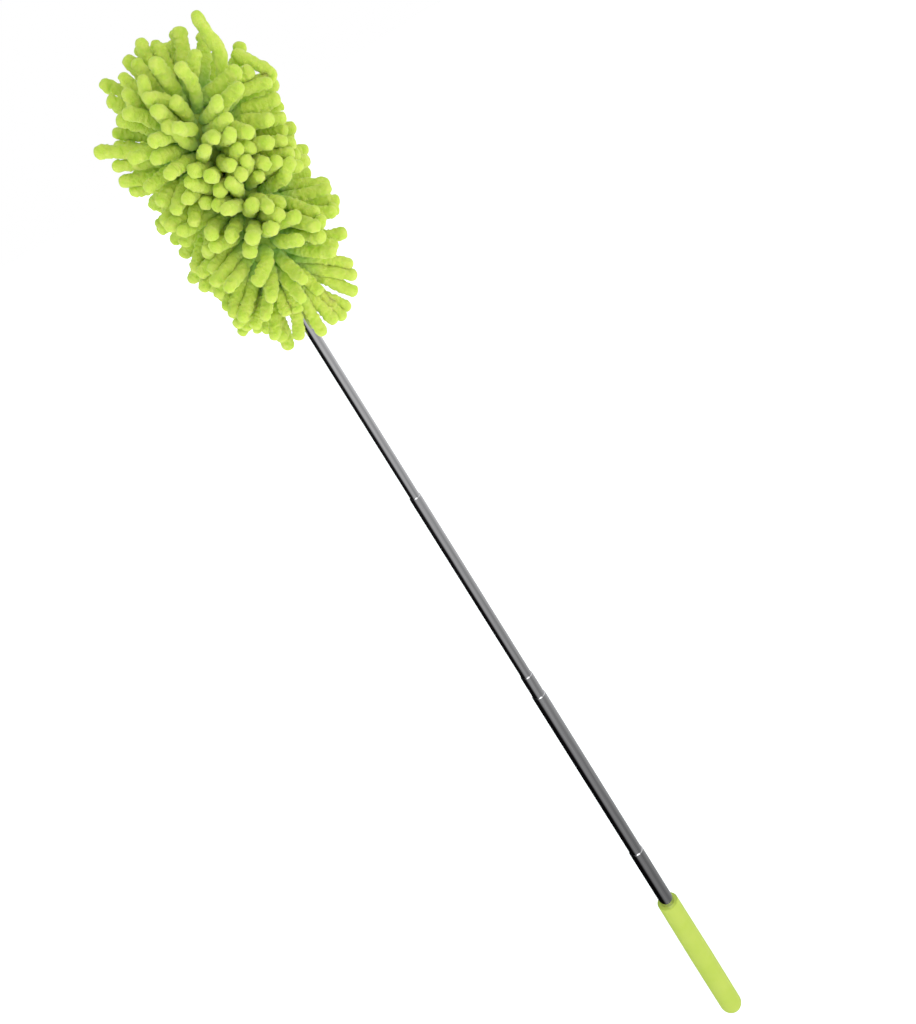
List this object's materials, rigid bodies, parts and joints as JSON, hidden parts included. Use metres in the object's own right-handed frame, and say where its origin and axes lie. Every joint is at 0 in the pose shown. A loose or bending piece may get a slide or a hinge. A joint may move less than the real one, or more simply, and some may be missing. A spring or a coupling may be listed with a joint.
{
  "type": "telescopic chenille duster",
  "caption": "Hand duster with a bendable bushy chenille finger head on a telescopic polished steel pole and a soft sleeve grip with a domed end.",
  "frame": {"origin": "on the pole's axis, at the middle of the straight cylindrical length of the grip", "axes": "+Z runs along the pole from the grip to the head; at rest the upper half of the head leans towards -Y; +X is across the head, in line with the two legs of the core wire"},
  "size_m": [0.091, 0.0989, 0.7592],
  "materials": {
    "grip_vinyl": "matte",
    "plug_plastic": "matte",
    "stainless_tube": "polished",
    "shim_brass": "satin",
    "socket_plastic": "satin",
    "pin_steel": "satin",
    "core_wire_steel": "satin",
    "core_foam": "matte",
    "backing_cloth": "matte",
    "elastic_band": "matte",
    "chenille": "matte"
  },
  "bodies": {
    "handle": {"grip_sleeve": "grip_vinyl", "butt_plug": "plug_plastic", "pole_section_1": "stainless_tube"},
    "shims_2": {"friction_shims_2": "shim_brass"},
    "section_2": {"pole_section_2": "stainless_tube"},
    "shims_3": {"friction_shims_3": "shim_brass"},
    "section_3": {"pole_section_3": "stainless_tube"},
    "shims_4": {"friction_shims_4": "shim_brass"},
    "section_4": {"pole_section_4": "stainless_tube"},
    "shims_5": {"friction_shims_5": "shim_brass"},
    "head_lower": {"pole_section_5": "stainless_tube", "head_socket": "socket_plastic", "socket_pin": "pin_steel", "core_wire_lower": "core_wire_steel", "core_wire_bend": "core_wire_steel", "foam_core_lower": "core_foam", "foam_core_bend": "core_foam", "cloth_sleeve_lower": "backing_cloth", "cloth_sleeve_bend": "backing_cloth", "neck_elastic": "elastic_band", "chenille_pile_lower": "chenille", "chenille_pile_bend": "chenille"},
    "head_upper": {"core_wire_upper": "core_wire_steel", "foam_core_upper": "core_foam", "cloth_sleeve_upper": "backing_cloth", "chenille_pile_upper": "chenille"}
  },
  "joints": [
    {"name": "draw_2", "type": "slide", "parent": "handle", "child": "shims_2", "axis": [0, 0, 1], "range_m": [-0.1477, 0]},
    {"name": "twist_2", "type": "hinge", "parent": "shims_2", "child": "section_2", "pos_m": [0, 0, 0.1425], "axis": [0, 0, 1], "continuous": true},
    {"name": "draw_3", "type": "slide", "parent": "section_2", "child": "shims_3", "axis": [0, 0, 1], "range_m": [-0.0141, 0.1286]},
    {"name": "twist_3", "type": "hinge", "parent": "shims_3", "child": "section_3", "pos_m": [0, 0, 0.1646], "axis": [0, 0, 1], "continuous": true},
    {"name": "draw_4", "type": "slide", "parent": "section_3", "child": "shims_4", "axis": [0, 0, 1], "range_m": [-0.1377, 0]},
    {"name": "twist_4", "type": "hinge", "parent": "shims_4", "child": "section_4", "pos_m": [0, 0, 0.3103], "axis": [0, 0, 1], "continuous": true},
    {"name": "draw_5", "type": "slide", "parent": "section_4", "child": "shims_5", "axis": [0, 0, 1], "range_m": [-0.1252, 0]},
    {"name": "twist_5", "type": "hinge", "parent": "shims_5", "child": "head_lower", "pos_m": [0, 0, 0.451], "axis": [0, 0, 1], "continuous": true},
    {"name": "head_bend", "type": "hinge", "parent": "head_lower", "child": "head_upper", "pos_m": [0, 0, 0.652], "axis": [1, 0, 0], "range_deg": [-67, 23], "deforming": ["core_wire_bend", "foam_core_bend", "cloth_sleeve_bend", "chenille_pile_bend"]}
  ]
}
